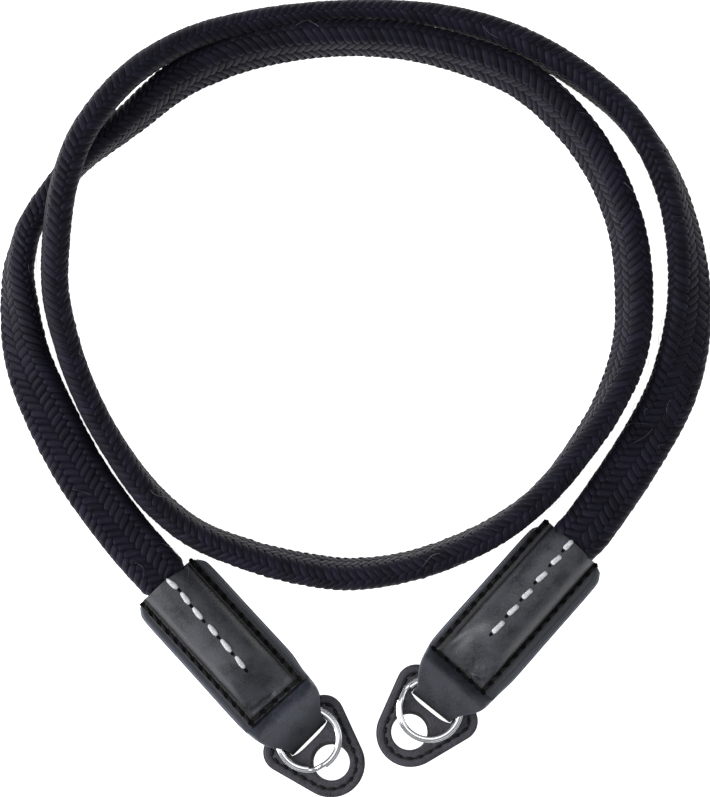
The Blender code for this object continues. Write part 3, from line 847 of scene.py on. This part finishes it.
def pad_rim(inset, spot):
    """The pad's outline, moved inwards: two shoulders beside the fold and a round tip, as
    the same number of points for any inset."""
    shoulder = PAD_WIDTH / 2 - PAD_SHOULDER_RADIUS
    circles = np.concatenate([
        arc(PAD_TIP_REACH, 0, PAD_TIP_RADIUS - inset, 0, 360, 90),
        arc(-PAD_SHOULDER_SETBACK, shoulder, PAD_SHOULDER_RADIUS - inset, 0, 360, 60),
        arc(-PAD_SHOULDER_SETBACK, -shoulder, PAD_SHOULDER_RADIUS - inset, 0, 360, 60)])
    corners = np.array(hull([tuple(point) for point in circles.tolist()]))
    steps = np.linspace(0, 1, 24, endpoint=False)[:, None, None]
    dense = (corners + (np.roll(corners, -1, axis=0) - corners) * steps).reshape(-1, 2)
    dense[:, 0] -= PAD_MIDDLE
    turns = np.linspace(0, 2 * math.pi, 168, endpoint=False)
    radius = np.interp(turns, np.arctan2(dense[:, 1], dense[:, 0]),
                       np.hypot(dense[:, 0], dense[:, 1]), period=2 * math.pi)
    return np.column_stack([PAD_MIDDLE + radius * np.cos(turns),
                            spot["pad_shift"] + radius * np.sin(turns)])


def pad_slot(grow, spot):
    """The slot's outline: straight behind the tongue, a thin lens of daylight before it."""
    half = TONGUE_WIDTH / 2 + 0.1 * MM + grow
    y = np.linspace(-half, half, 33)
    front = FOLD_SKEW * y + spot["slot_gap"] * (1 - np.abs(y / half) ** 4) + grow
    back = np.full(9, SLOT_BACK - grow)
    return np.concatenate([np.column_stack([front, y]),
                           np.column_stack([back, np.linspace(half, -half, 9)])])


def pad_face(loops, heights, darks, cut):
    """A face of the pad from its outlines, each at its own height: points, painted shade and
    faces.
    The last outlines, as many as cut, are holes."""
    flat = [Vector(point) for loop in loops for point in loop.tolist()]
    edges = []
    start = 0
    for loop in loops:
        edges += [(start + n, start + (n + 1) % len(loop)) for n in range(len(loop))]
        start += len(loop)
    made, _, faces, origins, _, _ = geometry.delaunay_2d_cdt(flat, edges, [], 1, 1e-7)
    owner = np.repeat(np.arange(len(loops)), [len(loop) for loop in loops])
    number = [owner[origin[0]] for origin in origins]
    points = [(point.x, point.y, heights[which]) for point, which in zip(made, number)]
    wear = [(darks[which], 0) for which in number]
    kept = []
    for face in faces:
        middle = sum((made[index] for index in face), Vector((0, 0))) / len(face)
        if not any(within(middle, loop) for loop in loops[-cut:]):
            kept.append(list(face))
    return points, wear, kept


def within(place, loop):
    """Whether a place lies inside an outline."""
    ahead = np.roll(loop, -1, axis=0)
    crossed = (loop[:, 1] > place.y) != (ahead[:, 1] > place.y)
    rise = np.where(crossed, ahead[:, 1] - loop[:, 1], 1)
    meets = loop[:, 0] + (place.y - loop[:, 1]) * (ahead[:, 0] - loop[:, 0]) / rise
    return bool(np.sum(crossed & (place.x < meets)) % 2)


def add_pad(name, spot, finish):
    """Two layers of leather, sewn together, with a slot and a round hole."""
    top = PAD_BOTTOM + PAD_THICKNESS
    between = PAD_BOTTOM + PAD_THICKNESS / 2
    step = PAD_LAYER_STEP
    radius = PAD_HOLE_DIAMETER / 2
    upper_hole = [arc(PAD_TIP_REACH - PAD_HOLE_LEAN, 0, radius + PAD_HOLE_LEAN + grow * MM,
                      0, 354, 59) for grow in (0.42, 0.28, 0.12, 0)]
    lower_hole = arc(PAD_TIP_REACH, 0, radius, 0, 354, 59)
    # The top's outlines: how far in, how many millimetres down, and how dark, as painted shade
    # in the stitch groove and at the edge
    rims = [(step, -0.25, 0.3), (step + 0.12 * MM, -0.08, 0), (step + 0.32 * MM, 0, 0),
            (1.1 * MM, 0, 0), (1.4 * MM, 0, 0), (1.75 * MM, -0.08, 0.35),
            (PAD_STITCH_INSET, -0.2, 0.85), (2.45 * MM, -0.08, 0.35), (2.8 * MM, 0, 0)]
    loops = [pad_rim(inset, spot) for inset, _, _ in rims]
    loops += [pad_slot(0.3 * MM, spot), upper_hole[0], upper_hole[1], upper_hole[2]]
    loops += [pad_slot(0, spot), upper_hole[3]]
    heights = [top + drop * MM for _, drop, _ in rims]
    heights += [top, top, top, top - 0.06 * MM, top - 0.12 * MM, top - 0.2 * MM]
    # Painted shade deepening down into the hole
    darks = [dark for _, _, dark in rims] + [0, 0, 0, 0.2, 0.5, 0.7]
    points, wear, faces = pad_face(loops, heights, darks, 2)
    under = [pad_rim(0.15 * MM, spot), pad_slot(0, spot), lower_hole]
    # The underside takes a little painted shade
    made, marks, joined = pad_face(under, [PAD_BOTTOM] * 3, [0.2] * 3, 2)
    faces += [[index + len(points) for index in face[::-1]] for face in joined]
    points += made
    wear += marks
    # Walls, as outline, height, dark and pale: painted shade in the step between the layers, low
    # on the side, in the slot and the hole, and a painted reflection on the outer edge
    sides = [
        [(pad_rim(inset, spot), height, dark, pale) for inset, height, dark, pale in (
            (step, top - 0.25 * MM, 0.5, 0), (step, between, 0.7, 0),
            (0.08 * MM, between - 0.03 * MM, 0, 0.3), (0, between - 0.2 * MM, 0, 0.3),
            (0, PAD_BOTTOM + 0.15 * MM, 0.3, 0), (0.15 * MM, PAD_BOTTOM, 0.3, 0))],
        [(pad_slot(0, spot), PAD_BOTTOM, 0.8, 0), (pad_slot(0, spot), top - 0.12 * MM, 0.8, 0)],
        [(lower_hole, PAD_BOTTOM, 0.8, 0), (lower_hole, between, 0.8, 0),
         (upper_hole[3], top - 0.2 * MM, 0.7, 0)]]
    for rings in sides:
        columns = len(rings[0][0])
        faces += (grid_faces(len(rings), columns, wrap=True) + len(points)).tolist()
        for outline, height, dark, pale in rings:
            points += [(x, y, height) for x, y in outline.tolist()]
            wear += [(dark, pale)] * columns
    pad = add_piece(f"{name}_leather_pad", points, faces, finish, uv=wear,
                    matrix=end_matrix(spot), keep_angle=35)
    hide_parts(f"{name}_lug_pad")


def stitch(start, end, radius, flatness, blunt=3.5, sides=8, steps=9, twist=0.0):
    """One stitch from hole to hole, its ends turned down: its points and faces."""
    start, end = Vector(start), Vector(end)
    along = (end - start).normalized()
    beside = Vector((-along.y, along.x, 0)).normalized()
    up = along.cross(beside)
    points = []
    for step in range(steps):
        t = step / (steps - 1)
        swell = radius * (1 - STITCH_END_TAPER * abs(2 * t - 1) ** blunt)
        middle = start.lerp(end, t) - up * (STITCH_TUCK * radius * abs(2 * t - 1) ** 5)
        for number in range(sides):
            angle = 2 * math.pi * number / sides
            wave = 1 + twist * math.cos(2 * angle - 9 * t)
            points.append(middle + beside * swell * wave * math.cos(angle)
                          + up * swell * wave * flatness * math.sin(angle))
    return points, tube_faces(steps, sides)


def needle_hole(x, y, height, along, across, heading):
    """A near-black oval over the hole where thread goes through, painted shade for its pit, that
    follows the leather.
    """
    points = [(x, y, height(x, y) + 0.02 * MM)]
    for turn in np.linspace(0, 2 * math.pi, HOLE_SIDES, endpoint=False):
        ahead, aside = along * math.cos(turn), across * math.sin(turn)
        px = x + ahead * math.cos(heading) - aside * math.sin(heading)
        py = y + ahead * math.sin(heading) + aside * math.cos(heading)
        points.append((px, py, height(px, py) + 0.05 * MM))
    return points, [[0, 1 + n, 1 + (n + 1) % HOLE_SIDES] for n in range(HOLE_SIDES)]


def add_stitches(name, runs, finish, spot):
    """Many stitches as one piece."""
    points = []
    faces = []
    for made, joined in runs:
        faces += [[index + len(points) for index in face] for face in joined]
        points += made
    return add_piece(name, points, faces, finish, matrix=end_matrix(spot))


def machine_row(path, pitch, height, seed):
    """Black machine stitches along a line, slanting a little, with their needle holes."""
    path = np.array(path)
    steps = np.linalg.norm(np.diff(path, axis=0), axis=1)
    reached = np.concatenate([[0], np.cumsum(steps)])
    count = max(int(round(reached[-1] / pitch)), 1)
    places = np.linspace(0, reached[-1], count + 1)
    chance = np.random.default_rng(seed)
    spots = [Vector([np.interp(place, reached, path[:, axis]) for axis in (0, 1)])
             for place in places]
    stitches = []
    holes = []
    for a, b in zip(spots, spots[1:]):
        run = (b - a).normalized()
        lean = Vector((-run.y, run.x)) * chance.normal(*BLACK_LEAN) * MM
        start, end = a.lerp(b, 0.1) + lean, a.lerp(b, 0.9) - lean
        stitches.append(stitch((*start, height(*start) + BLACK_STAND),
                               (*end, height(*end) + BLACK_STAND), BLACK_RADIUS, 0.8,
                               steps=7, twist=0.2))
        for place in (a, b)[:1 if b is not spots[-1] else 2]:
            long = BLACK_HOLE[0] + chance.normal(0, 0.1) * MM
            holes.append(needle_hole(*place, height, long, BLACK_HOLE[1],
                                     math.atan2(run.y, run.x) - 0.25))
    return stitches, holes


def sew_end(name, spot, finishes):
    """The cover's black seams, the pad's seam and the white hand stitches of one end."""
    mouth, shift = spot["mouth"], spot["hem_shift"]

    def on_cover(x, y):
        return float(cover_height(np.float64(x), np.float64(y), spot))

    def on_pad(*place):
        return PAD_BOTTOM + PAD_THICKNESS - PAD_STITCH_DROP

    side = COVER_STITCH_SIDE
    end = spot["cover_end"] - COVER_STITCH_INSET
    seams = [machine_row([(mouth + 0.6 * MM, shift + across), (end, shift + across)],
                         COVER_PITCH, on_cover, spot["seed"]) for across in (-side, side)]
    seams.append(machine_row([(end, shift - side), (end, shift + side)], COVER_END_PITCH,
                             on_cover, spot["seed"] + 1))
    add_stitches(f"{name}_cover_stitches", [run for seam in seams for run in seam[0]],
                 finishes["black_thread"], spot)
    add_stitches(f"{name}_cover_holes", [hole for seam in seams for hole in seam[1]],
                 finishes["hole"], spot)

    rim = [tuple(point) for point in pad_rim(PAD_STITCH_INSET, spot).tolist()]
    behind = [place for place, (x, y) in enumerate(rim)
              if x < -2.5 * MM and abs(y) < TONGUE_WIDTH / 2 - 0.5 * MM]
    rim = rim[behind[-1] + 1:] + rim[:behind[0]]
    stitches, holes = machine_row(rim, PAD_PITCH, on_pad, spot["seed"] + 2)
    add_stitches(f"{name}_pad_stitches", stitches, finishes["black_thread"],
                 spot)
    add_stitches(f"{name}_pad_holes", holes, finishes["hole"], spot)

    radius = spot["hand_radius"]
    runs = []
    holes = []
    for row in spot["hand_stitches"]:
        ax, ay, bx, by = (value * MM for value in row)
        heights = [on_cover(max(x, mouth + 0.3 * MM), y) + WHITE_STAND
                   for x, y in ((ax, ay), (bx, by))]
        runs.append(stitch((ax, ay, heights[0]), (bx, by, heights[1]), radius, 0.65,
                           blunt=spot["blunt"], sides=12, steps=17, twist=0.06))
        holes.append(needle_hole(bx + 0.25 * MM, by, on_cover, *WHITE_HOLE, 0.0))
    add_stitches(f"{name}_hand_stitches", runs, finishes["white_thread"],
                 spot)
    add_stitches(f"{name}_hand_holes", holes, finishes["hole"], spot)


def add_ring(name, spot, finish):
    """A split ring: one lap of wire, a step up and in beside its split, and a second lap."""
    outer = (RING_DIAMETER - RING_WIRE_WIDTH) / 2
    pitch = RING_WIRE_HEIGHT + RING_LAP_GAP
    ahead, aside = spot["ring_slip"]
    sweep = 720 - RING_SPLIT_ANGLE - 2
    turns = np.linspace(0, 2 * math.pi, RING_SIDES, endpoint=False)
    wide = np.cos(turns) * RING_WIRE_WIDTH / 2
    tall = np.sin(turns) * RING_WIRE_HEIGHT / 2
    points = []
    angles = np.arange(0, sweep, RING_STEP_ANGLE)
    for angle in angles:
        rise = min(max((angle - 360 + RING_SPLIT_ANGLE) / RING_SPLIT_ANGLE, 0), 1)
        ease = (1 - math.cos(math.pi * rise)) / 2
        turned = math.radians(angle + spot["ring_turn"])
        middle = RING_BOTTOM + RING_WIRE_HEIGHT / 2 + pitch * ease
        radius = outer - RING_LAP_STEP * ease
        for out, up in zip(wide, tall):
            points.append((RING_CENTRE_AHEAD + ahead + (radius + out) * math.cos(turned),
                           aside + (radius + out) * math.sin(turned), middle + up))
    ring = add_piece(f"{name}_wire_ring", points, tube_faces(len(angles), RING_SIDES),
                     finish, body=f"{name}_ring", matrix=end_matrix(spot),
                     keep_angle=60)
    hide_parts(f"{name}_split_ring")


def add_floor(finish):
    """The white sheet under the strap."""
    half = FLOOR_WIDTH / 2
    mesh = bpy.data.meshes.new("floor")
    mesh.from_pydata([(-half, -half, 0), (half, -half, 0), (half, half, 0), (-half, half, 0)],
                     [], [(0, 1, 2, 3)])
    mesh.materials.append(finish)
    floor = bpy.data.objects.new("floor", mesh)
    floor.location.z = -FLOOR_DROP
    bpy.context.scene.collection.objects.link(floor)


def add_light(name, place, size, power):
    """A square soft light that faces the middle of the strap."""
    data = bpy.data.lights.new(name, "AREA")
    data.size = size
    data.energy = power
    light = bpy.data.objects.new(name, data)
    light.location = place
    aim = Vector((*PICTURE_CENTRE, 0)) - light.location
    light.rotation_euler = aim.to_track_quat("-Z", "Y").to_euler()
    bpy.context.scene.collection.objects.link(light)


def set_light():
    """A softbox far to the left, one overhead, a weak one opposite and a dim studio."""
    for name, (place, size, power) in SOFTBOXES.items():
        add_light(name, place, size, power)
    world = bpy.data.worlds.new("studio")
    world.use_nodes = True
    sky = world.node_tree.nodes["Background"].inputs
    sky["Color"].default_value = linear("#ffffff")
    sky["Strength"].default_value = STUDIO_STRENGTH
    bpy.context.scene.world = world
    bpy.context.scene.view_settings.view_transform = "Standard"


set_camera()
finishes = {
    "strand": silk_strand(),
    "core": silk_core(),
    "fibre": silk_fibre(),
    "strip": leather("smooth_strap_leather", "#1f212a", "#33363f", 0.46, 0.5, 0.05, 0.4),
    "cover": leather("soft_lamb_leather", "#222328", "#393a41", 0.46, 0.45, 0.07, 0.4),
    "pad": leather("matt_pad_leather", "#24242a", "#3b3b43", 0.58, 0.6, 0.14, 0.35),
    "black_thread": thread("waxed_black_thread", "#070709", "#131316", 0.7, 0.2),
    # Needle holes: near-black ovals painted as the shade in the pits, made with the thread
    # shader
    "hole": thread("shaded_needle_hole", "#030304", "#07070a", 0.8, 0.1),
    "white_thread": thread("waxed_white_thread", "#a9a9b0", "#d2d2d8", 0.6, 0.3),
    "steel": polished_wire(),
    "floor": white_sheet(),
}
STRIP_CURVE = catmull_rom(STRIP_EDGE, 6)
build_cord(finishes)
for name, spot in ENDS.items():
    add_strip(name, spot, finishes["strip"])
    add_cover(name, spot, finishes["cover"])
    add_pad(name, spot, finishes["pad"])
    add_ring(name, spot, finishes["steel"])
    sew_end(name, spot, finishes)
add_floor(finishes["floor"])
set_light()
